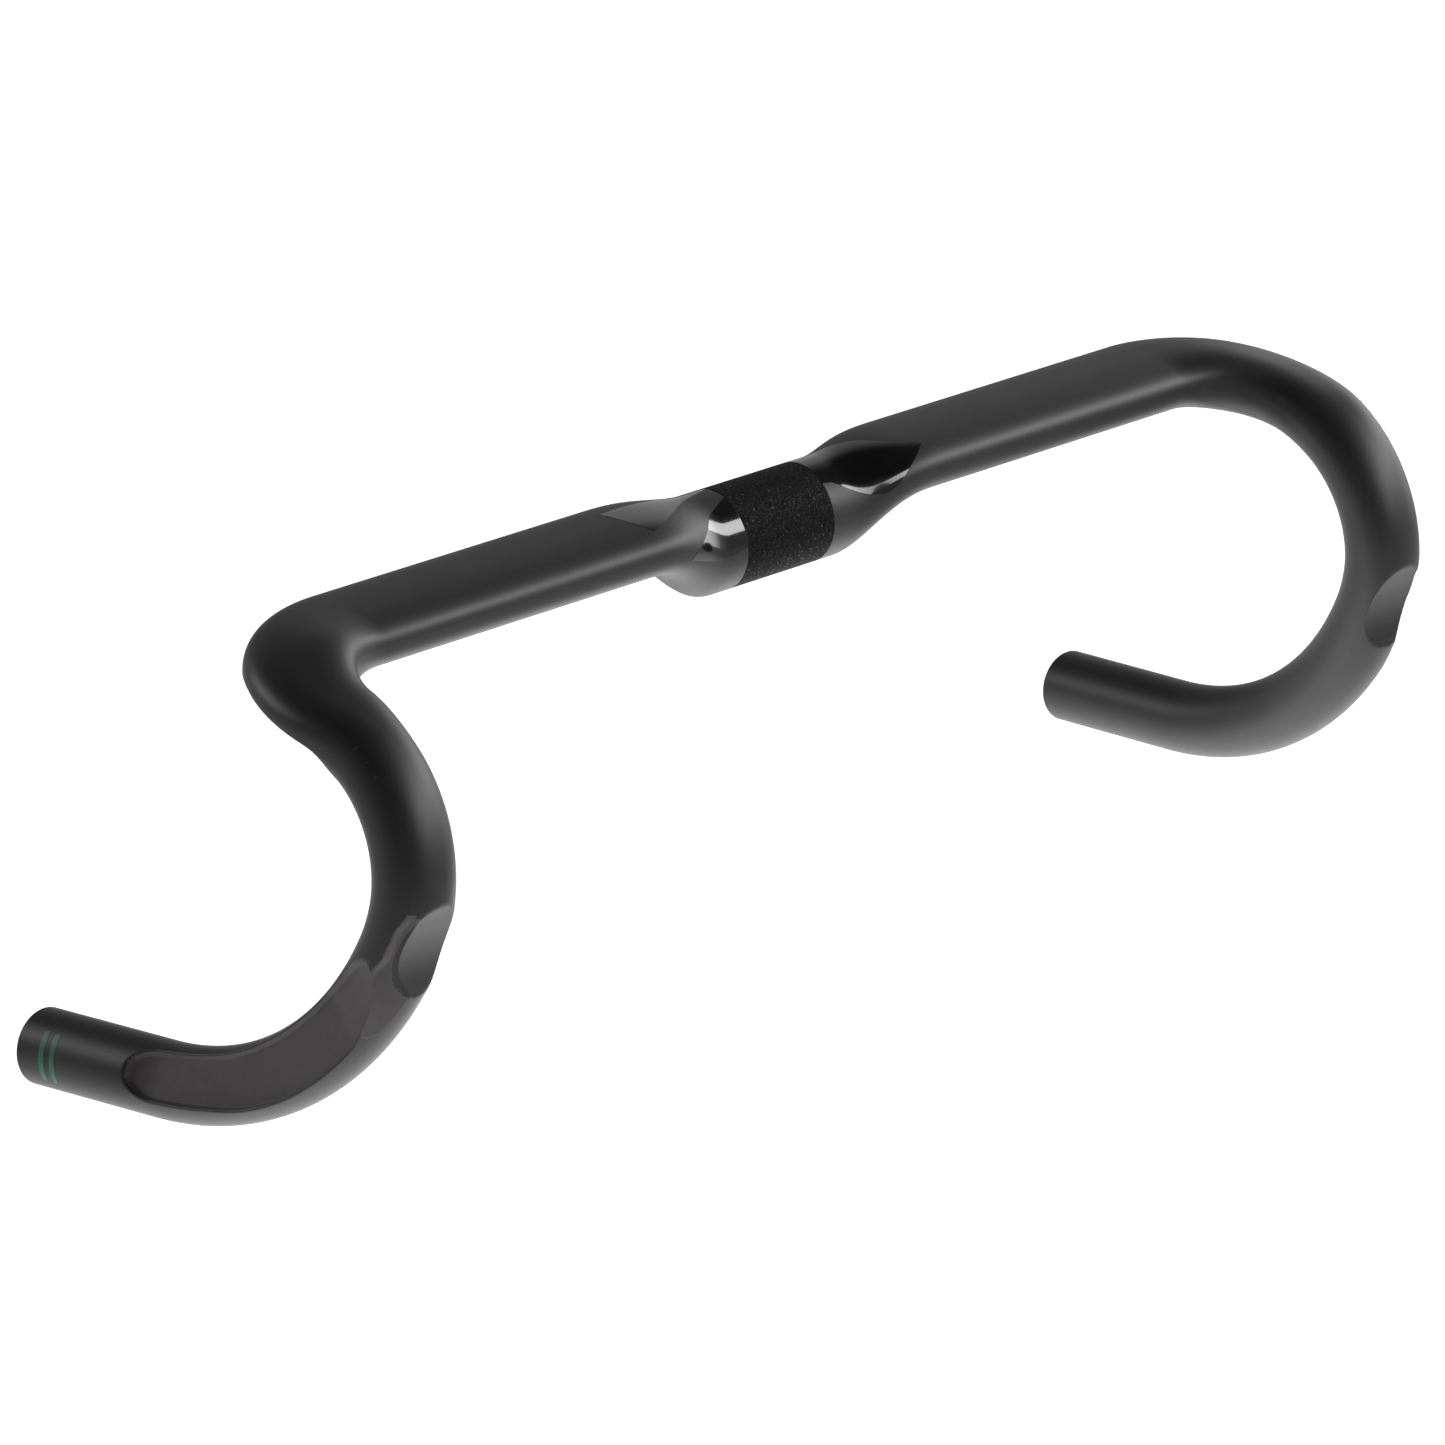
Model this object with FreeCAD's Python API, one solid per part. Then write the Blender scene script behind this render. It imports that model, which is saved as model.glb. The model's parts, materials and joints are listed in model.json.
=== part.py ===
"""Drop handlebar for a road bicycle: three bonded carbon mouldings with their inner pieces.

Frame: origin at the centre of the stem clamp barrel, +X along the tops to the rider's left,
-Y forward, +Z up with the tops level. Millimetres and degrees.
A run is the distance along the centreline from the end of the corner bend, where the ramp
starts: negative on the tops, positive on the hook.
"""
import FreeCAD
import Part
import math
import os

Vector = FreeCAD.Vector

# Stem clamp barrel
CLAMP_RADIUS = 15.9
BAND_LENGTH = 37.0
BAND_THICKNESS = 0.15
BARREL_END = 25.0
BARREL_WALL = 2.6
SLEEVE_WALL = 1.4

# Flat tops
TOPS_DEPTH = 36.9
TOPS_HEIGHT = 17.7
TOPS_POWER = 2.5
TOPS_FORWARD = 1.6
TOPS_RISE = 9.4
TRANSITION_LENGTH = 38.0
TRANSITION_EAGERNESS = 0.62
JOINT_X = 140.0
CORNER_START_X = 169.5

# Bends: the corner, then a ramp and three arcs of the hook, each to its own slope
CORNER_RADIUS = 37.5
TOE_IN = 3.1
FLARE = 4.2
RAMP_SLOPE = 9.0
HOOK_ARCS = ((42.2, 98.4), (58.6, 112.3), (114.0, 172.1))
DROP_END_LENGTH = 52.8
TUBE_RADIUS = 11.9
TUBE_STEP = 0.05

# Sections after the tops: run, depth, height, power of the superellipse, twist
SECTION_STOPS = (
    (-60.0, TOPS_DEPTH, TOPS_HEIGHT, TOPS_POWER, 0.0),
    (-30.0, 34.1, 20.4, 2.7, 4.8),
    (0.0, 29.0, 18.8, 2.6, -3.0),
    (20.0, 25.1, 21.3, 2.3, -12.0),
    (68.0, 24.0, 23.0, 2.15, -2.9),
    (135.0, 2 * (TUBE_RADIUS + TUBE_STEP), 2 * (TUBE_RADIUS + TUBE_STEP), 2.0, 0.0),
)

# Shells and bonded joints
WALL = 2.0
BOND = 0.15
SPIGOT_WALL = 1.2
SPIGOT_HALF_LENGTH = 25.0
FILM = 0.1

# Flattened places: each takes away what lies beyond a line across the section, given by
# the run, the direction the flat faces and its distance from the centreline
CHAMFER = ((-52.0, 225.0, 18.0), (-20.0, 225.0, 10.4), (4.0, 225.0, 10.4), (30.0, 225.0, 14.5))
FACET = ((60.0, 128.0, 12.0), (68.0, 128.0, 10.9), (79.0, 128.0, 9.7), (87.0, 120.0, 10.4),
         (98.0, 117.0, 11.5), (109.0, 116.0, 12.4))
PALM_PAD = ((78.0, 174.0, 13.0), (86.0, 174.0, 8.6), (101.0, 174.0, 7.0), (138.0, 175.0, 6.3),
            (158.0, 182.0, 7.0), (174.0, 192.0, 7.9), (190.0, 196.0, 9.0), (202.0, 196.0, 10.0),
            (212.0, 196.0, 12.4))
SCOOP_RUN = 74.0
SCOOP_ANGLE = 70.0
SCOOP_FLOOR = 5.8
SCOOP_RADIUS = 19.0

# Decals: on the tops, two edges across the section as (x, lowest angle, highest angle)
DECAL_SINK = 0.02
LEFT_PANEL = ((20.0, 50.0, 112.0), (50.0, 20.0, 80.0))
RIGHT_FRONT_PANEL = ((20.0, 8.0, 72.0), (40.0, -2.0, 16.0))
RIGHT_TOP_PANEL = ((24.0, 96.0, 106.0), (60.0, 60.0, 103.0))
END_BAR_RUNS = (236.6, 241.2)
END_BAR_WIDTH = 2.2
END_BAR_ANGLES = (132.0, 214.0)
LEVER_TICK_RUNS = (12.0, 16.5, 21.0, 25.5)
LEVER_TICK_WIDTH = 0.5
LEVER_TICK_ANGLES = (138.0, 146.0)

# How finely the skins are followed
RING_POINTS = 44
PATCH_POINTS = 13
MARK_ROWS = 3
TRANSITION_STEPS = 12
STATION_STEP = 5.0
TUBE_START_RUN = 216.0


def smooth(t):
    """Ease from 0 to 1."""
    t = min(max(t, 0.0), 1.0)
    return t * t * (3 - 2 * t)


def smoother(t):
    """Ease from 0 to 1 with no jump in curvature at either end."""
    t = min(max(t, 0.0), 1.0)
    return t ** 3 * (t * (6 * t - 15) + 10)


def tangent(stops, index, column):
    """Slope at a stop of a curve that never overshoots the stops."""
    if index in (0, len(stops) - 1):
        return 0.0
    before, after = ((high[column] - low[column]) / (high[0] - low[0])
                     for low, high in (stops[index - 1:index + 1], stops[index:index + 2]))
    return 2 * before * after / (before + after) if before * after > 0 else 0.0


def along_stops(stops, run):
    """Values of a table of stops at a run, on smooth curves between neighbours."""
    if run <= stops[0][0]:
        return stops[0][1:]
    if run >= stops[-1][0]:
        return stops[-1][1:]
    index = max(i for i, stop in enumerate(stops) if stop[0] <= run)
    low, high = stops[index], stops[index + 1]
    gap = high[0] - low[0]
    t = (run - low[0]) / gap
    values = []
    for column in range(1, len(low)):
        rise = tangent(stops, index, column) * (1 - t) - tangent(stops, index + 1, column) * t
        step = (high[column] - low[column]) * smooth(t)
        values.append(low[column] + step + gap * t * (1 - t) * rise)
    return tuple(values)


def spread(low, high, steps):
    """Evenly spaced values from low to high, one more than there are steps."""
    return [low + (high - low) * i / steps for i in range(steps + 1)]


def turned(vector, axis, degrees):
    return FreeCAD.Rotation(axis, degrees).multVec(vector)


class Station:
    """A place on the centreline: its point, its direction, the way up, and its run."""

    def __init__(self, point, along, up, run):
        self.point = point
        self.along = along
        self.up = up
        self.side = along.cross(up)
        self.run = run

    def at(self, side, up):
        return self.point + self.side * side + self.up * up


def bend(start, axis, radius, degrees, step=STATION_STEP):
    """Stations round an arc that turns the direction about axis, without the first one."""
    centre = start.point + axis.cross(start.along) * radius
    length = radius * math.radians(degrees)
    count = max(2, math.ceil(length / step))
    stations = []
    for i in range(1, count + 1):
        angle = degrees * i / count
        point = centre + turned(start.point - centre, axis, angle)
        along = turned(start.along, axis, angle)
        up = turned(start.up, axis, angle)
        stations.append(Station(point, along, up, start.run + length * i / count))
    return stations


def straight(start, length, step=STATION_STEP):
    count = max(1, math.ceil(length / step))
    return [
        Station(start.point + start.along * (length * i / count), start.along, start.up,
                start.run + length * i / count)
        for i in range(1, count + 1)
    ]


def drop_directions():
    """The ramp's direction and the axis that the hook bends about."""
    toe = math.radians(TOE_IN)
    flare = math.radians(FLARE)
    slope = math.radians(RAMP_SLOPE)
    forward = Vector(-math.sin(toe), -math.cos(toe), 0)
    outward = Vector(math.cos(toe), -math.sin(toe), 0)
    upward = Vector(0, 0, 1) * math.cos(flare) - outward * math.sin(flare)
    ramp = forward * math.cos(slope) - upward * math.sin(slope)
    return ramp, upward.cross(forward)


def drop_stations():
    """Centreline of the left drop from the corner's start to the end of the bar."""
    ramp, hook_axis = drop_directions()
    tops = Vector(1, 0, 0)
    corner_axis = tops.cross(ramp).normalize()
    corner_angle = math.degrees(tops.getAngle(ramp))
    corner_length = CORNER_RADIUS * math.radians(corner_angle)
    start = Vector(CORNER_START_X, -TOPS_FORWARD, TOPS_RISE)
    stations = [Station(start, tops, Vector(0, 0, 1), -corner_length)]
    stations += bend(stations[-1], corner_axis, CORNER_RADIUS, corner_angle)
    slope = RAMP_SLOPE
    for radius, end_slope in HOOK_ARCS:
        stations += bend(stations[-1], hook_axis, radius, end_slope - slope)
        slope = end_slope
    return stations


def flats(run):
    """(angle, distance) of each line that trims the section at a run."""
    trims = [along_stops(stops, run) for stops in (CHAMFER, FACET, PALM_PAD)
             if stops[0][0] < run < stops[-1][0]]
    from_scoop = abs(run - SCOOP_RUN)
    if from_scoop < SCOOP_RADIUS:
        floor = SCOOP_FLOOR + SCOOP_RADIUS - math.sqrt(SCOOP_RADIUS ** 2 - from_scoop ** 2)
        trims.append((SCOOP_ANGLE, floor))
    return trims


ROUND = [360 * i / RING_POINTS for i in range(RING_POINTS)]


def superellipse(half_depth, half_height, power, twist, trims=(), inset=0.0, angles=ROUND):
    """Points (side, up) at angles round a section, trimmed by its flats."""
    points = []
    cos_twist = math.cos(math.radians(twist))
    sin_twist = math.sin(math.radians(twist))
    for angle in angles:
        c, s = math.cos(math.radians(angle)), math.sin(math.radians(angle))
        u = (half_depth - inset) * math.copysign(abs(c) ** (2 / power), c)
        v = (half_height - inset) * math.copysign(abs(s) ** (2 / power), s)
        u, v = u * cos_twist - v * sin_twist, u * sin_twist + v * cos_twist
        for degrees, distance in trims:
            normal_u, normal_v = math.cos(math.radians(degrees)), math.sin(math.radians(degrees))
            beyond = u * normal_u + v * normal_v - (distance - inset)
            if beyond > 0:
                u -= beyond * normal_u
                v -= beyond * normal_v
        points.append((u, v))
    return points


def ring_curve(points):
    """Smooth closed curve through the points, with the same parameters on every ring."""
    curve = Part.BSplineCurve()
    parameters = [float(i) for i in range(len(points) + 1)]
    curve.interpolate(points, PeriodicFlag=True, Parameters=parameters)
    return curve


def closed_wire(points):
    return Part.Wire(ring_curve(points).toShape())


def tube_surface(rings, places):
    """Smooth skin through rings of points; places are their distances along the tube."""
    curves = [ring_curve(points) for points in rings]
    columns = []
    for poles in zip(*(curve.getPoles() for curve in curves)):
        column = Part.BSplineCurve()
        column.interpolate(list(poles), Parameters=places)
        columns.append(column)
    first, lengthways = curves[0], columns[0]
    surface = Part.BSplineSurface()
    surface.buildFromPolesMultsKnots(
        [column.getPoles() for column in columns],
        first.getMultiplicities(), lengthways.getMultiplicities(),
        first.getKnots(), lengthways.getKnots(),
        True, False, first.Degree, lengthways.Degree)
    return surface.toShape()


def drop_ring(station, inset, angles=ROUND):
    depth, height, power, twist = along_stops(SECTION_STOPS, station.run)
    section = superellipse(depth / 2, height / 2, power, twist, flats(station.run), inset, angles)
    return [station.at(u, v) for u, v in section]


def tops_ring(x, inset, angles=ROUND):
    """Section across the tops at x: round at the barrel, flat beyond the transition."""
    t = (abs(x) - BARREL_END) / TRANSITION_LENGTH
    t = min(max(t, 0.0), 1.0)
    t = smoother(t / (t + (1 - t) * TRANSITION_EAGERNESS))
    half_depth = CLAMP_RADIUS + (TOPS_DEPTH / 2 - CLAMP_RADIUS) * t
    half_height = CLAMP_RADIUS + (TOPS_HEIGHT / 2 - CLAMP_RADIUS) * t
    power = 2 + (TOPS_POWER - 2) * t
    section = superellipse(half_depth, half_height, power, 0.0, (), inset, angles)
    return [Vector(x, -TOPS_FORWARD * t - u, TOPS_RISE * t + v) for u, v in section]


def flat_tops(x0, x1, inset):
    """A stretch of the tops whose section doesn't change between two places."""
    return Part.Face(closed_wire(tops_ring(x0, inset))).extrude(Vector(x1 - x0, 0, 0))


def barrel(radius, half_length):
    return Part.makeCylinder(radius, 2 * half_length, Vector(-half_length, 0, 0), Vector(1, 0, 0))


def transition(inset, start):
    """Left-hand loft from the round barrel to the flat tops, with the barrel's end from start."""
    places = spread(BARREL_END, BARREL_END + TRANSITION_LENGTH, TRANSITION_STEPS)
    rings = [tops_ring(x, inset) for x in places]
    caps = [Part.Face(closed_wire(ring)) for ring in (rings[0], rings[-1])]
    loft = sewn([tube_surface(rings, places)] + caps)
    return loft.fuse(flat_tops(start, BARREL_END, inset))


def mirrored(shape):
    return shape.mirror(Vector(0, 0, 0), Vector(1, 0, 0))


def tops_body(inset, barrel_radius, barrel_half_length):
    """Everything inside the tops' skin, from joint to joint."""
    left = transition(inset, barrel_half_length).fuse(
        flat_tops(BARREL_END + TRANSITION_LENGTH, JOINT_X, inset))
    return barrel(barrel_radius, barrel_half_length).fuse([left, mirrored(left)])


def make_tops():
    half_band = BAND_LENGTH / 2
    skin = tops_body(0.0, CLAMP_RADIUS - BAND_THICKNESS, half_band)
    hollow_radius = CLAMP_RADIUS - BARREL_WALL
    hollow = tops_body(WALL, hollow_radius, half_band)
    return skin.cut(hollow)


def planar_ring(outer, inner):
    """Flat face between two closed wires in one plane."""
    return Part.makeFace([outer, inner], "Part::FaceMakerBullseye")


def sewn(faces):
    shell = Part.Shell(faces)
    shell.sewShape()
    return Part.Solid(shell)


def make_left_drop():
    """Hollow left drop, from the bonded joint to the end of the bar, as one sewn skin."""
    stations = drop_stations()
    last = stations[-1]
    lead_in = TUBE_START_RUN - last.run
    stations += straight(last, lead_in)
    tube_start = stations[-1].point
    tube_end = tube_start + last.along * (DROP_END_LENGTH - lead_in)

    faces = []
    starts, necks, tubes, mouths = [], [], [], []
    places = [station.run for station in stations]
    for inset in (0.0, WALL):
        start = closed_wire(tops_ring(JOINT_X, inset))
        wing = start.Edges[0].extrude(Vector(CORNER_START_X - JOINT_X, 0, 0))
        rings = [drop_ring(station, inset) for station in stations]
        circles = [Part.Wire(Part.Circle(place, last.along, TUBE_RADIUS - inset).toShape())
                   for place in (tube_start, tube_end)]
        tube = circles[0].Edges[0].extrude(tube_end - tube_start)
        faces += [wing, tube_surface(rings, places), tube]
        starts.append(start)
        necks.append(closed_wire(rings[-1]))
        tubes.append(circles[0])
        mouths.append(circles[1])
    faces.append(planar_ring(*starts))
    faces.append(planar_ring(*mouths))
    faces += [planar_ring(neck, tube) for neck, tube in zip(necks, tubes)]
    return sewn(faces)


def wing_sleeve(x0, x1, outer_inset, inner_inset):
    return flat_tops(x0, x1, outer_inset).cut(flat_tops(x0, x1, inner_inset))


def make_joint():
    """The left joint's spigot and its two films of adhesive."""
    low, high = JOINT_X - SPIGOT_HALF_LENGTH, JOINT_X + SPIGOT_HALF_LENGTH
    spigot_inset = WALL + BOND
    return {
        "joint_spigot": wing_sleeve(low, high, spigot_inset, spigot_inset + SPIGOT_WALL),
        "inner_bond_film": wing_sleeve(low, JOINT_X, WALL, spigot_inset),
        "outer_bond_film": wing_sleeve(JOINT_X, high, WALL, spigot_inset),
    }


def patch(rows, raised_rows):
    """Thin solid between two matching grids of points."""
    sheets = []
    for grid in (rows, raised_rows):
        surface = Part.BSplineSurface()
        surface.interpolate(grid)
        sheets.append(surface)
    faces = [sheet.toShape() for sheet in sheets]
    for u_side in (True, False):
        for last in (False, True):
            rims = []
            for sheet in sheets:
                u0, u1, v0, v1 = sheet.bounds()
                rims.append(sheet.uIso(u1 if last else u0) if u_side
                            else sheet.vIso(v1 if last else v0))
            faces.append(Part.makeRuledSurface(rims[0].toShape(), rims[1].toShape()))
    return sewn(faces)


def make_panel(edges):
    """Thin gloss decal on the left half of the tops, between two edges across the section."""
    across = list(zip(*(spread(*ends, PATCH_POINTS - 1) for ends in zip(*edges))))
    grids = [[tops_ring(x, inset, spread(low, high, PATCH_POINTS - 1)) for x, low, high in across]
             for inset in (DECAL_SINK, -FILM)]
    return patch(*grids)


def make_drop_marks(runs, width, angles):
    """Thin decals round the left drop, one bar centred on each run."""
    stations = drop_stations()
    stations += straight(stations[-1], DROP_END_LENGTH)
    marks = []
    for middle in runs:
        rows = [station_at(stations, run)
                for run in spread(middle - width / 2, middle + width / 2, MARK_ROWS - 1)]
        grids = [[drop_ring(row, inset, spread(*angles, PATCH_POINTS - 1)) for row in rows]
                 for inset in (DECAL_SINK, -FILM)]
        marks.append(patch(*grids))
    return Part.makeCompound(marks)


def station_at(stations, run):
    """Station at a run that lies between two neighbouring stations."""
    before = max((s for s in stations if s.run <= run), key=lambda s: s.run)
    after = min((s for s in stations if s.run > run), key=lambda s: s.run)
    t = (run - before.run) / (after.run - before.run)
    along = (before.along * (1 - t) + after.along * t).normalize()
    up = (before.up * (1 - t) + after.up * t).normalize()
    chord = before.point * (1 - t) + after.point * t
    bulge = (before.along - after.along) * ((after.run - before.run) * t * (1 - t) / 2)
    return Station(chord + bulge, along, up, run)


def tube_ring(outer_radius, inner_radius, half_length):
    return barrel(outer_radius, half_length).cut(barrel(inner_radius, half_length))


def make_clamp_pieces():
    """The gritty clamp band outside the barrel, and the bonded sleeve inside it."""
    half = BAND_LENGTH / 2
    bore = CLAMP_RADIUS - BARREL_WALL
    sleeve_radius = bore - BOND
    return {
        "clamp_grit_band": tube_ring(CLAMP_RADIUS, CLAMP_RADIUS - BAND_THICKNESS, half),
        "clamp_sleeve": tube_ring(sleeve_radius, sleeve_radius - SLEEVE_WALL, half),
        "clamp_sleeve_bond": tube_ring(bore, sleeve_radius, half),
    }


def save(shape, name):
    shape.exportStep(os.path.join("parts", name + ".step"))


def save_pair(shape, name):
    save(shape, "left_" + name)
    save(mirrored(shape), "right_" + name)


def main():
    os.makedirs("parts", exist_ok=True)
    save(make_tops(), "tops_moulding")
    save_pair(make_left_drop(), "drop_moulding")
    for name, shape in make_joint().items():
        save_pair(shape, name)
    for name, shape in make_clamp_pieces().items():
        save(shape, name)
    save(make_panel(LEFT_PANEL), "gloss_panel_left")
    save(mirrored(make_panel(RIGHT_FRONT_PANEL)), "gloss_panel_right_front")
    save(mirrored(make_panel(RIGHT_TOP_PANEL)), "gloss_panel_right_top")
    save_pair(make_drop_marks(END_BAR_RUNS, END_BAR_WIDTH, END_BAR_ANGLES), "end_mark")
    save_pair(make_drop_marks(LEVER_TICK_RUNS, LEVER_TICK_WIDTH, LEVER_TICK_ANGLES), "lever_scale")


main()
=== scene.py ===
"""Looks of the drop handlebar: dense skins, carbon and print materials, studio and camera.

Shapes are worked out in millimetres in the frame of the CAD model (+X along the tops to the
rider's left, -Y forward, +Z up) and become metres when a mesh is made. A run is the distance
along the centreline from the end of the corner bend: negative on the tops, positive on the hook.
"""
import json
import math

import bpy
import numpy as np
from mathutils import Matrix, Vector


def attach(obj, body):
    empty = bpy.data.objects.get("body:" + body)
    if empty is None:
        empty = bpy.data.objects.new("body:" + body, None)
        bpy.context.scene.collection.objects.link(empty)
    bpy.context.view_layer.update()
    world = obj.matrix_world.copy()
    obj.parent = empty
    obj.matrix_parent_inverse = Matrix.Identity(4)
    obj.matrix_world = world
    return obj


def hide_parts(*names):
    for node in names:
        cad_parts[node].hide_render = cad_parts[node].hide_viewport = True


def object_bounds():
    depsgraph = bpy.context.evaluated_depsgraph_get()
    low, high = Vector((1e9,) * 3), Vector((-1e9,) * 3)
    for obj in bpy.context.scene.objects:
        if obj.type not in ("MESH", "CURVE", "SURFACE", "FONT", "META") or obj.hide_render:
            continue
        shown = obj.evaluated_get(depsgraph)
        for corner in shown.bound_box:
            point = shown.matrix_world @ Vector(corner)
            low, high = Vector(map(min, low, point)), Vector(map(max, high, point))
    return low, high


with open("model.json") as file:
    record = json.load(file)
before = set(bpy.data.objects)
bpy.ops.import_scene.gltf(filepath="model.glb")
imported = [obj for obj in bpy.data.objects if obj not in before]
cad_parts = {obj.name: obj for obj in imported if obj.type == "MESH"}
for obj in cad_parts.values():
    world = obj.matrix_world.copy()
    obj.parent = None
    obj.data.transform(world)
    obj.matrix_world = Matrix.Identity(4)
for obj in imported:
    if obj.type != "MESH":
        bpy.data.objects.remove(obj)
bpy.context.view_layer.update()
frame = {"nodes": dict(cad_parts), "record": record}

MM = 0.001

# Barrel and flat tops
CLAMP_RADIUS = 15.9
BAND_HALF = 18.5
BAND_THICKNESS = 0.15
GRAIN, GRIT_DEPTH = 0.33, 0.07
BARREL_END = 25.0
TOPS_DEPTH, TOPS_HEIGHT, TOPS_POWER = 36.9, 17.7, 2.5
TOPS_FORWARD, TOPS_RISE = 1.6, 9.4
TRANSITION_LENGTH, TRANSITION_EAGERNESS = 38.0, 0.62
JOINT_X = 140.0
CORNER_START_X = 169.5

# Bends of the drop
CORNER_RADIUS = 37.5
TOE_IN, FLARE, RAMP_SLOPE = map(math.radians, (3.1, 4.2, 9.0))
HOOK_ARCS = ((42.2, 98.4), (58.6, 112.3), (114.0, 172.1))
DROP_END_LENGTH = 52.8
TUBE_RADIUS = 11.9
WALL = 2.0

# Sections after the tops: run, depth, height, power, twist
SECTION_STOPS = (
    (-60.0, TOPS_DEPTH, TOPS_HEIGHT, TOPS_POWER, 0.0),
    (-30.0, 34.1, 20.4, 2.7, 4.8),
    (0.0, 29.0, 18.8, 2.6, -3.0),
    (20.0, 25.1, 21.3, 2.3, -12.0),
    (68.0, 24.0, 23.0, 2.15, -2.9),
    (135.0, 2 * TUBE_RADIUS, 2 * TUBE_RADIUS, 2.0, 0.0),
)

# Flats that trim the section: run, direction the flat faces, its distance from the centreline
CHAMFER = ((-52.0, 225.0, 18.0), (-20.0, 225.0, 10.4), (4.0, 225.0, 10.4), (30.0, 225.0, 14.5))
FACET = ((58.0, 127.0, 12.2), (66.0, 127.0, 10.5), (74.0, 127.0, 9.9), (80.0, 125.0, 9.7),
         (87.0, 120.0, 10.2), (98.0, 117.0, 11.3), (109.0, 116.0, 12.4))
# Highest angle that the facet reaches at a run
FACET_EDGE = ((58.0, 126.0), (62.0, 134.0), (67.0, 147.0), (76.0, 153.0), (82.0, 162.0),
              (109.0, 168.0))

# Palm pad: a recess with low walls and round ends; run, then its middle and half width in degrees
PAD = ((79.5, 174.0, 30.0), (86.0, 174.0, 42.0), (91.0, 174.0, 45.0), (101.0, 174.0, 50.0),
       (109.0, 174.0, 56.0), (138.0, 175.0, 55.0), (158.0, 178.0, 51.0), (174.0, 186.0, 47.0),
       (190.0, 189.0, 45.0), (206.5, 188.0, 44.0))
PAD_ROUND_ENDS = (22.0, 12.0)
PAD_DEPTH, WALL_ANGLE, END_WALL = 1.2, 14.0, 3.2

# Finger scoop: centre run, direction, floor, and radii of the dish above and below the centre
SCOOP_RUN, SCOOP_ANGLE, SCOOP_FLOOR, SCOOP_RADII = 74.5, 76.0, 6.3, (24.5, 14.5)

# Decals: on the tops, x with the lowest and highest angle of the gloss there
DECAL_SINK, FILM = 0.03, 0.06
PANEL_START = BAND_HALF + 0.1
LEFT_PANEL = ((PANEL_START, 52, 111), (22, 50, 111), (34, 19, 111), (39, 8, 103), (43, 8, 95),
              (50, 31, 78), (58, 57, 58.5))
RIGHT_FRONT_PANEL = ((PANEL_START, 9, 74), (29, 3, 56), (38, -2, 24), (46, -6.5, -6))
RIGHT_TOP_PANEL = ((PANEL_START, 104, 106), (34, 86, 105), (57, 53, 103), (60, 76, 102.5),
                   (63, 100, 102))
END_BAR_RUNS, END_BAR_WIDTH, END_BAR_ANGLES = (236.6, 241.2), 2.2, (134.0, 212.0)
TICK_RUNS, TICK_WIDTH, TICK_ANGLES = (12.0, 16.5, 21.0, 25.5), 0.5, (138.0, 146.0)

# How finely the meshes follow the shapes
RING_POINTS = 288
FINE_STEP, COARSE_STEP, LEAD_STEPS = 0.8, 4.0, 4
BAND_RINGS, NECK_RINGS, RECESS_LIP = 12, 70, 0.05
PANEL_STEP, PANEL_COLUMNS = 0.5, 49
BAR_ROWS, BAR_COLUMNS = 4, 25
SHARP_ANGLE = math.radians(40)

# A trim line so far out that it cuts nothing, and the seed of the grains
FAR = 99.0
GRAIN_SEED = 7


# ---------------------------------------------------------------- geometry

def smooth(t):
    """Ease from 0 to 1."""
    t = np.clip(t, 0.0, 1.0)
    return t * t * (3 - 2 * t)


def smoother(t):
    """Ease from 0 to 1 with no jump in curvature at either end."""
    t = np.clip(t, 0.0, 1.0)
    return t ** 3 * (t * (6 * t - 15) + 10)


def along_stops(stops, run):
    """Columns of a table of stops at every run, on smooth curves that never overshoot."""
    table = np.array(stops, float)
    place, values = table[:, 0], table[:, 1:]
    gap = np.diff(place)[:, None]
    slope = np.diff(values, axis=0) / gap
    before, after = slope[:-1], slope[1:]
    product = before * after
    total = np.where(product > 0, before + after, 1)
    tangent = np.zeros_like(values)
    tangent[1:-1] = np.where(product > 0, 2 * product / total, 0)
    low = np.clip(np.searchsorted(place, run) - 1, 0, len(place) - 2)
    t = np.clip((run - place[low]) / gap[low, 0], 0, 1)[:, None]
    ease = smooth(t)
    curve = (values[low] * (1 - ease) + values[low + 1] * ease
             + gap[low] * t * (1 - t) * (tangent[low] * (1 - t) - tangent[low + 1] * t))
    return list(curve.T)


def turned(vectors, axis, angle):
    """Vectors turned about a unit axis by each angle, in radians."""
    angle = np.asarray(angle)[:, None]
    along = (vectors @ axis)[..., None] * axis
    return (vectors - along) * np.cos(angle) + np.cross(axis, vectors) * np.sin(angle) + along


class Line:
    """A stretch of centreline as arrays of points, directions, ups and runs."""

    def __init__(self, point, along, up, run):
        self.point, self.along, self.up, self.run = point, along, up, run

    def join(self, other):
        """This line and another that starts where it ends."""
        return Line(*(np.concatenate([a[:-1], b]) for a, b in zip(self.parts(), other.parts())))

    def parts(self):
        return self.point, self.along, self.up, self.run

    def bend(self, axis, radius, angle, step):
        """The line with an arc added that turns its direction about an axis."""
        point, along, up, run = (part[-1] for part in self.parts())
        centre = point + np.cross(axis, along) * radius
        angles = np.linspace(0, angle, max(3, int(radius * angle / step) + 2))
        one = np.ones((len(angles), 1))
        arc = Line(centre + turned(one * (point - centre), axis, angles),
                   turned(one * along, axis, angles), turned(one * up, axis, angles),
                   run + radius * angles)
        return self.join(arc)

    def straight(self, length, step):
        """The line with a straight length added."""
        point, along, up, run = (part[-1] for part in self.parts())
        steps = np.linspace(0, length, max(2, int(length / step) + 2))
        one = np.ones((len(steps), 1))
        return self.join(Line(point + along * steps[:, None], one * along, one * up, run + steps))


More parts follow.
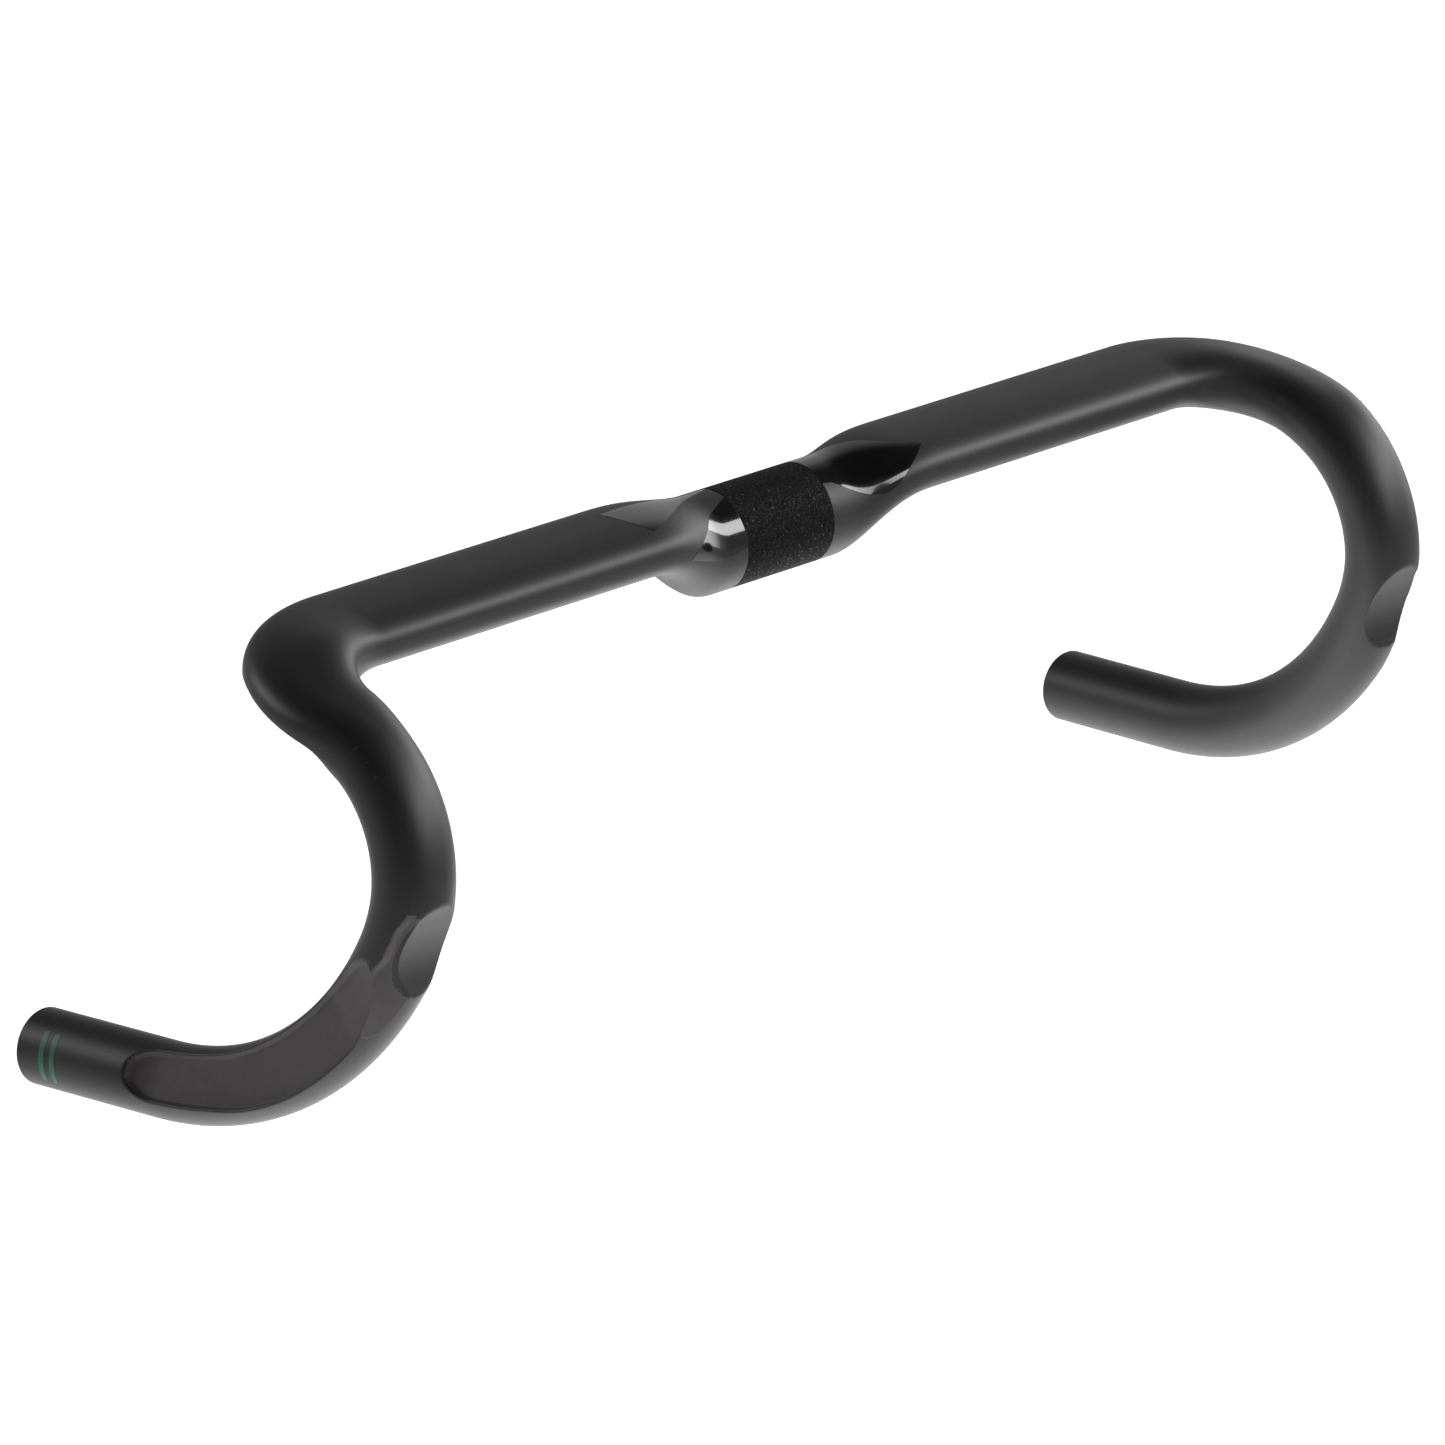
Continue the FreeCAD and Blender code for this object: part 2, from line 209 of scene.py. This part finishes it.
def drop_line(step):
    """Centreline of the left drop, from the bonded joint to the end of the bar."""
    forward = np.array([-math.sin(TOE_IN), -math.cos(TOE_IN), 0])
    outward = np.array([math.cos(TOE_IN), -math.sin(TOE_IN), 0])
    upward = np.array([0, 0, 1]) * math.cos(FLARE) - outward * math.sin(FLARE)
    ramp = forward * math.cos(RAMP_SLOPE) - upward * math.sin(RAMP_SLOPE)
    tops = np.array([1.0, 0, 0])
    corner_axis = np.cross(tops, ramp) / np.linalg.norm(np.cross(tops, ramp))
    corner_angle = math.acos(tops @ ramp)
    lead = CORNER_START_X - JOINT_X
    first_run = -CORNER_RADIUS * corner_angle - lead
    start = np.array([JOINT_X, -TOPS_FORWARD, TOPS_RISE])
    line = Line(start[None], tops[None], np.array([[0, 0, 1.0]]), np.array([first_run]))
    line = line.straight(lead, step * LEAD_STEPS)
    line = line.bend(corner_axis, CORNER_RADIUS, corner_angle, step)
    hook_axis = np.cross(upward, forward)
    slope = RAMP_SLOPE
    for radius, end_degrees in HOOK_ARCS:
        end = math.radians(end_degrees)
        line = line.bend(hook_axis, radius, end - slope, step)
        slope = end
    return line.straight(DROP_END_LENGTH, step)


def trim(u, v, degrees, distance, share=1.0):
    """Pushes what lies beyond a line across the section back onto the line, or part of the way."""
    nu, nv = np.cos(np.radians(degrees))[:, None], np.sin(np.radians(degrees))[:, None]
    beyond = np.maximum(u * nu + v * nv - distance[:, None], 0) * share
    return u - beyond * nu, v - beyond * nv


def round_end(distance, length):
    """Share of the width left at a distance from a rounded end."""
    t = np.clip(distance / length, 0, 1)
    return np.sqrt(t * (2 - t))


def pad_reach(run, phi):
    """The palm pad's middle and half width at every run, and its share at directions phi."""
    middle, half = along_stops(PAD, run)
    from_ends = np.minimum(run - PAD[0][0], PAD[-1][0] - run)
    half = half * round_end(run - PAD[0][0], PAD_ROUND_ENDS[0])
    half = half * round_end(PAD[-1][0] - run, PAD_ROUND_ENDS[1])
    wall = smooth((half[:, None] - np.abs(phi - middle[:, None])) / WALL_ANGLE)
    return middle, half, wall * smooth(from_ends / END_WALL)[:, None]


def scoop_floor(run):
    """Distance of the finger scoop's dished floor from the centreline at every run."""
    radius = np.where(run < SCOOP_RUN, *SCOOP_RADII)
    from_scoop = np.minimum(np.abs(run - SCOOP_RUN), radius)
    return SCOOP_FLOOR + radius - np.sqrt(radius ** 2 - from_scoop ** 2)


def chord_reach(distance):
    """Half the angle that a flat at a distance from the centreline takes of the round tube."""
    return np.degrees(np.arccos(np.clip(distance / TUBE_RADIUS, -1, 1)))[:, None]


def on_facet(run, phi):
    """Where the facet above the palm pad is left between the pad and the scoop."""
    middle, distance = along_stops(FACET, run)
    edge, = along_stops(FACET_EDGE, run)
    cut = np.abs(phi - middle[:, None]) < chord_reach(distance)
    scooped = np.abs(phi - SCOOP_ANGLE) < chord_reach(scoop_floor(run))
    return inside(FACET, run)[:, None] & cut & ~scooped & (phi < edge[:, None])


def inside(stops, run):
    """Whether each run lies within a table of stops."""
    return (run > stops[0][0]) & (run < stops[-1][0])


def superellipse(half_depth, half_height, power, angles, inset=0.0):
    """Points (side, up) of one superellipse for each row, before any twist."""
    angles = np.atleast_2d(angles)
    c, s = np.cos(angles), np.sin(angles)
    u = (half_depth - inset)[:, None] * np.sign(c) * np.abs(c) ** (2 / power[:, None])
    v = (half_height - inset)[:, None] * np.sign(s) * np.abs(s) ** (2 / power[:, None])
    return u, v


def drop_section(run, angles, inset=0.0):
    """Section points (side, up) at every run and angle."""
    depth, height, power, twist = along_stops(SECTION_STOPS, run)
    u, v = superellipse(depth / 2, height / 2, power, angles, inset)
    ct, st = np.cos(np.radians(twist))[:, None], np.sin(np.radians(twist))[:, None]
    u, v = u * ct - v * st, u * st + v * ct
    phi = np.degrees(np.atleast_2d(angles)) % 360
    degrees, distance = along_stops(CHAMFER, run)
    u, v = trim(u, v, degrees, np.where(inside(CHAMFER, run), distance - inset, FAR))
    degrees, distance = along_stops(FACET, run)
    edge = along_stops(FACET_EDGE, run)[0][:, None]
    u, v = trim(u, v, degrees, np.where(inside(FACET, run), distance - inset, FAR),
                smooth((edge - phi) / WALL_ANGLE))
    middle, half, share = pad_reach(run, phi)
    distance = (TUBE_RADIUS - PAD_DEPTH) * np.cos(np.radians(half))
    u, v = trim(u, v, middle, np.where(inside(PAD, run), distance - inset, FAR), share)
    return trim(u, v, np.full_like(run, SCOOP_ANGLE), scoop_floor(run) - inset)


def drop_surface(line, angles, inset=0.0):
    """Points of the left drop's surface along a line, at every angle."""
    u, v = drop_section(line.run, angles, inset)
    side = np.cross(line.along, line.up)
    return (line.point[:, None] + u[..., None] * side[:, None]
            + v[..., None] * line.up[:, None])


def tops_surface(x, angles, inset=0.0):
    """Points of the tops at every x and angle."""
    t = np.clip((np.abs(x) - BARREL_END) / TRANSITION_LENGTH, 0, 1)
    t = smoother(t / (t + (1 - t) * TRANSITION_EAGERNESS))
    half_depth = CLAMP_RADIUS + (TOPS_DEPTH / 2 - CLAMP_RADIUS) * t
    half_height = CLAMP_RADIUS + (TOPS_HEIGHT / 2 - CLAMP_RADIUS) * t
    u, v = superellipse(half_depth, half_height, 2 + (TOPS_POWER - 2) * t, angles, inset)
    points = np.empty(u.shape + (3,))
    points[..., 0] = x[:, None]
    points[..., 1] = -TOPS_FORWARD * t[:, None] - u
    points[..., 2] = TOPS_RISE * t[:, None] + v
    return points


# ---------------------------------------------------------------- meshes

def make_mesh(name, vertices, faces, material):
    """Object made from vertices in millimetres, shaded smooth with sharp creases kept."""
    mesh = bpy.data.meshes.new(name)
    mesh.from_pydata((np.asarray(vertices) * MM).tolist(), [], faces)
    mesh.update()
    mesh.polygons.foreach_set("use_smooth", [True] * len(mesh.polygons))
    mesh.set_sharp_from_angle(angle=SHARP_ANGLE)
    mesh.materials.append(material)
    obj = bpy.data.objects.new(name, mesh)
    bpy.context.scene.collection.objects.link(obj)
    return obj


def tube_faces(rings, points, offset=0, flip=False):
    """Quads round a grid of closed rings."""
    i = np.arange(rings - 1)[:, None] * points
    j = np.arange(points)[None]
    k = (j + 1) % points
    quads = np.stack([i + j, i + k, i + points + k, i + points + j], -1).reshape(-1, 4) + offset
    return (quads[:, ::-1] if flip else quads).tolist()


def cap_faces(outer, inner, points, flip=False):
    """Quads between two rings of one end, given each ring's first vertex."""
    j = np.arange(points)
    k = (j + 1) % points
    quads = np.stack([outer + j, inner + j, inner + k, outer + k], -1)
    return (quads[:, ::-1] if flip else quads).tolist()


def hollow(name, outer, inner, material):
    """Closed shell between two grids of rings that share their ends' planes."""
    points = outer.shape[1]
    base = outer.shape[0] * points
    faces = tube_faces(outer.shape[0], points, 0, True)
    faces += tube_faces(inner.shape[0], points, base)
    faces += cap_faces(0, base, points, True)
    faces += cap_faces(base - points, base + (inner.shape[0] - 1) * points, points)
    return make_mesh(name, np.concatenate([outer.reshape(-1, 3), inner.reshape(-1, 3)]),
                     faces, material)


def mirror(mesh):
    mesh.transform(Matrix.Diagonal((-1, 1, 1, 1)))
    mesh.flip_normals()


def mirror_copy(obj, name):
    """The matching piece of the other side."""
    mesh = obj.data.copy()
    mesh.name = name
    mirror(mesh)
    copy = bpy.data.objects.new(name, mesh)
    bpy.context.scene.collection.objects.link(copy)
    return copy


def film(name, sheets, material):
    """Closed thin pieces, each between a raised and a sunk grid of the same size."""
    vertices, faces = [], []
    for raised, sunk in sheets:
        rows, columns = raised.shape[:2]
        base = len(vertices)
        size = rows * columns
        vertices += raised.reshape(-1, 3).tolist() + sunk.reshape(-1, 3).tolist()
        index = base + np.arange(size).reshape(rows, columns)
        cells = np.stack([index[:-1, :-1], index[:-1, 1:], index[1:, 1:], index[1:, :-1]], -1)
        cells = cells.reshape(-1, 4)
        faces += cells.tolist() + (cells[:, ::-1] + size).tolist()
        rim = np.concatenate([index[0], index[1:, -1], index[-1, -2::-1], index[-2:0:-1, 0]])
        after = np.roll(rim, -1)
        faces += np.stack([after, rim, rim + size, after + size], -1).tolist()
    return make_mesh(name, vertices, faces, material)


ROUND = np.linspace(0, 2 * math.pi, RING_POINTS, endpoint=False)


def stand_for(piece, node):
    """Puts a piece on the body in place of its CAD node."""
    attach(piece, "root")
    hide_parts(node)


def build_drops(material, grip):
    """Both drops: a fine outside, a coarser inside, and grip on the pad and the facet."""
    fine, coarse = drop_line(FINE_STEP), drop_line(COARSE_STEP)
    left = hollow("left_drop_skin", drop_surface(fine, ROUND), drop_surface(coarse, ROUND, WALL),
                  material)
    phi = np.degrees(ROUND)[None]
    gripped = (pad_reach(fine.run, phi)[2] > 0.5) | on_facet(fine.run, phi)
    left.data.materials.append(grip)
    slots = np.zeros(len(left.data.polygons), dtype=np.int32)
    slots[:gripped[:-1].size] = gripped[:-1].ravel()
    left.data.polygons.foreach_set("material_index", slots)
    right = mirror_copy(left, "right_drop_skin")
    stand_for(left, "left_drop_moulding")
    stand_for(right, "right_drop_moulding")


def build_band(material):
    """The non-slip band: a thin sleeve whose outside is a crust of small grains."""
    rng = np.random.default_rng(GRAIN_SEED)
    columns = int(2 * math.pi * CLAMP_RADIUS / GRAIN)
    x = np.linspace(-BAND_HALF, BAND_HALF, int(2 * BAND_HALF / GRAIN))
    depth = GRIT_DEPTH * rng.random((len(x), columns)) ** 3
    depth[[0, -1]] = GRIT_DEPTH / 2
    angles = np.linspace(0, 2 * math.pi, columns, endpoint=False)
    grids = []
    for radius in (CLAMP_RADIUS - depth, np.full(depth.shape, CLAMP_RADIUS - BAND_THICKNESS)):
        across = np.broadcast_to(x[:, None], depth.shape)
        grids.append(np.stack([across, -radius * np.cos(angles), radius * np.sin(angles)], -1))
    piece = hollow("clamp_grit_skin", *grids, material)
    stand_for(piece, "clamp_grit_band")


def build_tops(material):
    """The tops from joint to joint, with a shallow recess under the band."""
    flat_start = BARREL_END + TRANSITION_LENGTH
    band = np.linspace(0, BAND_HALF - RECESS_LIP, BAND_RINGS)
    neck = np.linspace(BAND_HALF, flat_start, NECK_RINGS)[:-1]
    flat = np.arange(flat_start, JOINT_X, COARSE_STEP)
    half = np.concatenate([band, neck, flat, [JOINT_X]])
    x = np.concatenate([-half[:0:-1], half])
    outer = tops_surface(x, ROUND)
    recess = np.abs(x) < BAND_HALF
    outer[recess, :, 1:] *= (CLAMP_RADIUS - BAND_THICKNESS) / CLAMP_RADIUS
    piece = hollow("tops_skin", outer, tops_surface(x, ROUND, WALL), material)
    stand_for(piece, "tops_moulding")


def panel_sheets(stops):
    """Raised and sunk grids of a decal on the left half of the tops."""
    table = np.array(stops, float)
    between = np.arange(table[0, 0], table[-1, 0], PANEL_STEP)
    x = np.unique(np.concatenate([table[:, 0], between]))
    low, high = (np.interp(x, table[:, 0], table[:, c]) for c in (1, 2))
    across = np.linspace(0, 1, PANEL_COLUMNS)
    angles = np.radians(low[:, None] + (high - low)[:, None] * across)
    return [(tops_surface(x, angles, -FILM), tops_surface(x, angles, DECAL_SINK))]


def build_panels(material):
    """The gloss decals beside the band; a side of -1 is the rider's right."""
    for name, side, stops in (("left", 1, LEFT_PANEL), ("right_front", -1, RIGHT_FRONT_PANEL),
                              ("right_top", -1, RIGHT_TOP_PANEL)):
        piece = film("gloss_" + name, panel_sheets(stops), material)
        if side < 0:
            mirror(piece.data)
        stand_for(piece, "gloss_panel_" + name)


def bar_sheets(runs, width, degrees):
    """Raised and sunk grids of a row of bars round the left drop."""
    line = drop_line(FINE_STEP)
    angles = np.radians(np.linspace(*degrees, BAR_COLUMNS))
    sheets = []
    for middle in runs:
        run = np.linspace(middle - width / 2, middle + width / 2, BAR_ROWS)
        place = Line(*(np.stack([np.interp(run, line.run, part[:, c]) for c in range(3)], -1)
                       for part in line.parts()[:3]), run)
        sheets.append(tuple(drop_surface(place, angles, inset) for inset in (-FILM, DECAL_SINK)))
    return sheets


def build_marks(green, grey):
    """Printed bars near the ends of the drops and position ticks on the hooks."""
    for label, slot, material, bars in (
            ("end_mark", "mark_green", green, (END_BAR_RUNS, END_BAR_WIDTH, END_BAR_ANGLES)),
            ("lever_scale", "mark_grey", grey, (TICK_RUNS, TICK_WIDTH, TICK_ANGLES))):
        left = film("left_" + label + "_print", bar_sheets(*bars), material)
        right = mirror_copy(left, "right_" + label + "_print")
        stand_for(left, "left_" + label)
        stand_for(right, "right_" + label)


# ---------------------------------------------------------------- materials

def new_material(name):
    """A material with its nodes, links and shader."""
    material = bpy.data.materials.new(name)
    material.use_nodes = True
    nodes = material.node_tree.nodes
    return material, nodes, material.node_tree.links, nodes["Principled BSDF"]


def noise(nodes, links, scale, detail, stretch=(1, 1, 1)):
    """Noise that stays fixed to the object, stretched along its axes."""
    place = nodes.new("ShaderNodeTexCoord")
    mapping = nodes.new("ShaderNodeMapping")
    mapping.inputs["Scale"].default_value = stretch
    links.new(place.outputs["Object"], mapping.inputs["Vector"])
    texture = nodes.new("ShaderNodeTexNoise")
    texture.inputs["Scale"].default_value = scale
    texture.inputs["Detail"].default_value = detail
    links.new(mapping.outputs["Vector"], texture.inputs["Vector"])
    return texture


def ramp(nodes, links, source, stops):
    """Colour ramp over a value: (position, grey level or colour) stops."""
    node = nodes.new("ShaderNodeValToRGB")
    elements = node.color_ramp.elements
    while len(elements) < len(stops):
        elements.new(0.5)
    for element, (position, colour) in zip(elements, stops):
        element.position = position
        element.color = colour if isinstance(colour, tuple) else (colour, colour, colour, 1)
    links.new(source, node.inputs["Fac"])
    return node.outputs["Color"]


def bump(nodes, links, height, strength, distance, shader):
    """Small relief from a height, in metres of distance."""
    node = nodes.new("ShaderNodeBump")
    node.inputs["Strength"].default_value = strength
    node.inputs["Distance"].default_value = distance
    links.new(height, node.inputs["Height"])
    links.new(node.outputs["Normal"], shader.inputs["Normal"])


def satin_carbon():
    """Nearly black matte lacquer with a fine grain."""
    material, nodes, links, shader = new_material("satin_carbon")
    cloud = noise(nodes, links, 60, 5)
    links.new(ramp(nodes, links, cloud.outputs["Fac"], ((0.3, 0.011), (0.7, 0.016))),
              shader.inputs["Base Color"])
    grain = noise(nodes, links, 2600, 2)
    links.new(ramp(nodes, links, grain.outputs["Fac"], ((0.3, 0.43), (0.7, 0.50))),
              shader.inputs["Roughness"])
    bump(nodes, links, grain.outputs["Fac"], 0.08, 0.00005, shader)
    shader.inputs["IOR"].default_value = 1.5
    return material


def palm_grip():
    """Dull dark grey of the recessed grip areas."""
    material, nodes, links, shader = new_material("palm_grip")
    cloud = noise(nodes, links, 300, 4)
    links.new(ramp(nodes, links, cloud.outputs["Fac"],
                   ((0.3, (0.068, 0.062, 0.061, 1)), (0.7, (0.081, 0.075, 0.073, 1)))),
              shader.inputs["Base Color"])
    shader.inputs["Roughness"].default_value = 0.6
    return material


def grit():
    """Rough black paint with a few pale specks."""
    material, nodes, links, shader = new_material("clamp_grit")
    speck = noise(nodes, links, 1500, 2)
    links.new(ramp(nodes, links, speck.outputs["Fac"],
                   ((0.40, 0.001), (0.55, 0.003), (0.68, 0.006), (0.76, 0.12))),
              shader.inputs["Base Color"])
    links.new(ramp(nodes, links, speck.outputs["Fac"], ((0.45, 0.85), (0.72, 0.5))),
              shader.inputs["Roughness"])
    shader.inputs["IOR"].default_value = 1.25
    return material


def gloss_black():
    """Clear-coated black of the decals."""
    material, nodes, links, shader = new_material("gloss_black")
    cloud = noise(nodes, links, 90, 3)
    links.new(ramp(nodes, links, cloud.outputs["Fac"], ((0.3, 0.004), (0.7, 0.007))),
              shader.inputs["Base Color"])
    links.new(ramp(nodes, links, cloud.outputs["Fac"], ((0.3, 0.08), (0.7, 0.14))),
              shader.inputs["Roughness"])
    shader.inputs["Coat Weight"].default_value = 0.6
    shader.inputs["Coat Roughness"].default_value = 0.05
    return material


def printed(name, low, high):
    """Slightly uneven ink or resin between two colours."""
    material, nodes, links, shader = new_material(name)
    cloud = noise(nodes, links, 500, 3)
    links.new(ramp(nodes, links, cloud.outputs["Fac"], ((0.3, low), (0.7, high))),
              shader.inputs["Base Color"])
    shader.inputs["Roughness"].default_value = 0.45
    return material


def raw_carbon():
    """Unpainted laminate of the inner pieces."""
    material, nodes, links, shader = new_material("raw_carbon")
    weave = noise(nodes, links, 400, 4, (1, 4, 1))
    links.new(ramp(nodes, links, weave.outputs["Fac"], ((0.3, 0.015), (0.7, 0.035))),
              shader.inputs["Base Color"])
    shader.inputs["Roughness"].default_value = 0.6
    return material


def paint_frame():
    """Gives every CAD node that stays its material."""
    by_slot = {
        "carbon_raw": raw_carbon(),
        "epoxy": printed("cured_epoxy", (0.16, 0.13, 0.07, 1), (0.24, 0.20, 0.12, 1)),
    }
    for subpart in frame["record"]["subparts"]:
        material = by_slot.get(subpart["material_slot"])
        node = frame["nodes"].get(subpart["node"])
        if material and node:
            for slot in node.material_slots:
                slot.material = material


# ---------------------------------------------------------------- studio

# Camera, with its offset to the right and up in metres
CAMERA_AZIMUTH, CAMERA_ELEVATION, CAMERA_ROLL = map(math.radians, (44.885, 22.957, 2.324))
CAMERA_DISTANCE, CAMERA_OFFSET = 2.4108, (-0.010146, -0.060374)
FOCAL_LENGTH, SENSOR_WIDTH, CLIP_END = 195.6, 36.0, 20.0

# Floor, in metres, and the even glow of each of its two pools of light beyond their edges
FLOOR_DROP, FLOOR_REACH, FLOOR_LIFT = 0.16, 6.0, 0.11
# Pools of light on the floor: centre, heading of the long side, half sizes, brightness
FLOOR_GLOWS = (((0.62, 0.62), 135, (0.95, 0.44), 0.62), ((0.05, 0.02), 90, (0.34, 0.12), 1.1))
# Where a pool starts and ends to fade, in whole sizes, and a height that the pools ignore
GLOW_EDGE, ANY_HEIGHT = (0.46, 1.0), 1e6

# Walls: how closely a direction agrees with the bright side or with straight up, from 0
# for opposite to 1 for the same, and the brightness there
BRIGHT_SIDE = (95, 0)
WALL_LEVELS = ((0.0, 0.16), (0.35, 0.20), (0.80, 0.26), (0.91, 0.6), (0.98, 2.8))
CEILING_LEVELS = ((0.74, 1.0), (0.86, 0.10))

# Soft lights aimed at the object: azimuth, elevation, width and height, brightness
SOFTBOXES = {
    "front_strip": (46, 30, (2.4, 0.5), 3.0),
    "rear_left_card": (-146, 16, (0.8, 0.4), 2.0),
}
SOFTBOX_DISTANCE, SOFTBOX_SPREAD = 1.5, math.radians(120)


def camera_axes():
    """The camera's right, up and back directions."""
    a, e, r = CAMERA_AZIMUTH, CAMERA_ELEVATION, CAMERA_ROLL
    back = Vector((-math.sin(a) * math.cos(e), -math.cos(a) * math.cos(e), math.sin(e)))
    level = Vector((math.cos(a), -math.sin(a), 0))
    above = back.cross(level)
    right = level * math.cos(r) + above * math.sin(r)
    return right, above * math.cos(r) - level * math.sin(r), back


def place_camera():
    right, up, back = camera_axes()
    data = bpy.data.cameras.new("camera")
    data.lens = FOCAL_LENGTH
    data.sensor_width = SENSOR_WIDTH
    data.clip_end = CLIP_END
    camera = bpy.data.objects.new("camera", data)
    rotation = Matrix((right, up, back)).transposed().to_4x4()
    place = back * CAMERA_DISTANCE + right * CAMERA_OFFSET[0] + up * CAMERA_OFFSET[1]
    camera.matrix_world = Matrix.Translation(place) @ rotation
    bpy.context.scene.collection.objects.link(camera)
    bpy.context.scene.camera = camera


def heading(azimuth, elevation):
    """Unit vector: azimuth in degrees from straight ahead towards the rider's left."""
    a, e = math.radians(azimuth), math.radians(elevation)
    return Vector((math.sin(a) * math.cos(e), -math.cos(a) * math.cos(e), math.sin(e)))


def softbox(name, azimuth, elevation, size, radiance):
    """Area light of one brightness that faces the object from a direction."""
    data = bpy.data.lights.new(name, "AREA")
    data.shape = "RECTANGLE"
    data.size, data.size_y = size
    data.energy = radiance * size[0] * size[1] * math.pi
    data.spread = SOFTBOX_SPREAD
    light = bpy.data.objects.new(name, data)
    away = heading(azimuth, elevation)
    light.location = away * SOFTBOX_DISTANCE
    light.rotation_euler = away.to_track_quat("Z", "Y").to_euler()
    light.visible_camera = False
    bpy.context.scene.collection.objects.link(light)


def floor_glow(nodes, links, centre, long_heading, half_sizes, brightness):
    """Soft-edged oval pool of light on the floor."""
    place = nodes.new("ShaderNodeTexCoord")
    mapping = nodes.new("ShaderNodeMapping")
    mapping.vector_type = "TEXTURE"
    mapping.inputs["Location"].default_value = (*centre, 0)
    mapping.inputs["Rotation"].default_value = (0, 0, math.radians(long_heading - 90))
    mapping.inputs["Scale"].default_value = (*half_sizes, ANY_HEIGHT)
    links.new(place.outputs["Object"], mapping.inputs["Vector"])
    reach = nodes.new("ShaderNodeVectorMath")
    reach.operation = "LENGTH"
    links.new(mapping.outputs["Vector"], reach.inputs[0])
    half = nodes.new("ShaderNodeMath")
    half.operation = "MULTIPLY"
    half.inputs[1].default_value = 0.5
    links.new(reach.outputs["Value"], half.inputs[0])
    return ramp(nodes, links, half.outputs["Value"],
                ((GLOW_EDGE[0], brightness + FLOOR_LIFT), (GLOW_EDGE[1], FLOOR_LIFT)))


def build_floor():
    """Plain pale floor a little below the object, with pools of painted light glowing in it."""
    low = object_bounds()[0][2] / MM - FLOOR_DROP / MM
    reach = FLOOR_REACH / MM
    corners = [(x * reach, y * reach, low) for x, y in ((-1, -1), (1, -1), (1, 1), (-1, 1))]
    material, nodes, links, shader = new_material("floor")
    cloud = noise(nodes, links, 2, 2)
    links.new(ramp(nodes, links, cloud.outputs["Fac"], ((0.3, 0.70), (0.7, 0.73))),
              shader.inputs["Base Color"])
    shader.inputs["Roughness"].default_value = 0.9
    total = nodes.new("ShaderNodeVectorMath")
    total.operation = "ADD"
    # Painted light: the pools glow from the floor itself, brightest under and behind the object,
    # and nothing shadows them
    for glow, socket in zip(FLOOR_GLOWS, total.inputs):
        links.new(floor_glow(nodes, links, *glow), socket)
    links.new(total.outputs["Vector"], shader.inputs["Emission Color"])
    shader.inputs["Emission Strength"].default_value = 1.0
    floor = make_mesh("floor", corners, [(0, 1, 2, 3)], material)


def build_world():
    """Studio walls: bright on one side of the room, darker on the other, with a dark ceiling."""
    world = bpy.data.worlds.new("studio")
    world.use_nodes = True
    nodes, links = world.node_tree.nodes, world.node_tree.links
    place = nodes.new("ShaderNodeTexCoord")
    levels = []
    for direction, stops in ((heading(*BRIGHT_SIDE), WALL_LEVELS), ((0, 0, 1), CEILING_LEVELS)):
        towards = nodes.new("ShaderNodeVectorMath")
        towards.operation = "DOT_PRODUCT"
        towards.inputs[1].default_value = direction
        links.new(place.outputs["Generated"], towards.inputs[0])
        level = nodes.new("ShaderNodeMapRange")
        level.inputs["From Min"].default_value = -1.0
        links.new(towards.outputs["Value"], level.inputs["Value"])
        levels.append(ramp(nodes, links, level.outputs["Result"], stops))
    product = nodes.new("ShaderNodeVectorMath")
    product.operation = "MULTIPLY"
    for level, socket in zip(levels, product.inputs):
        links.new(level, socket)
    links.new(product.outputs["Vector"], nodes["Background"].inputs["Color"])
    bpy.context.scene.world = world


def build_lights():
    for name, facts in SOFTBOXES.items():
        softbox(name, *facts)


def main():
    carbon = satin_carbon()
    build_tops(carbon)
    build_drops(carbon, palm_grip())
    build_band(grit())
    build_panels(gloss_black())
    build_marks(printed("mark_green", (0.012, 0.115, 0.062, 1), (0.02, 0.15, 0.085, 1)),
                printed("mark_grey", (0.025, 0.025, 0.025, 1), (0.04, 0.04, 0.042, 1)))
    paint_frame()
    build_floor()
    build_world()
    build_lights()
    bpy.context.scene.view_settings.view_transform = "Standard"
    place_camera()


main()
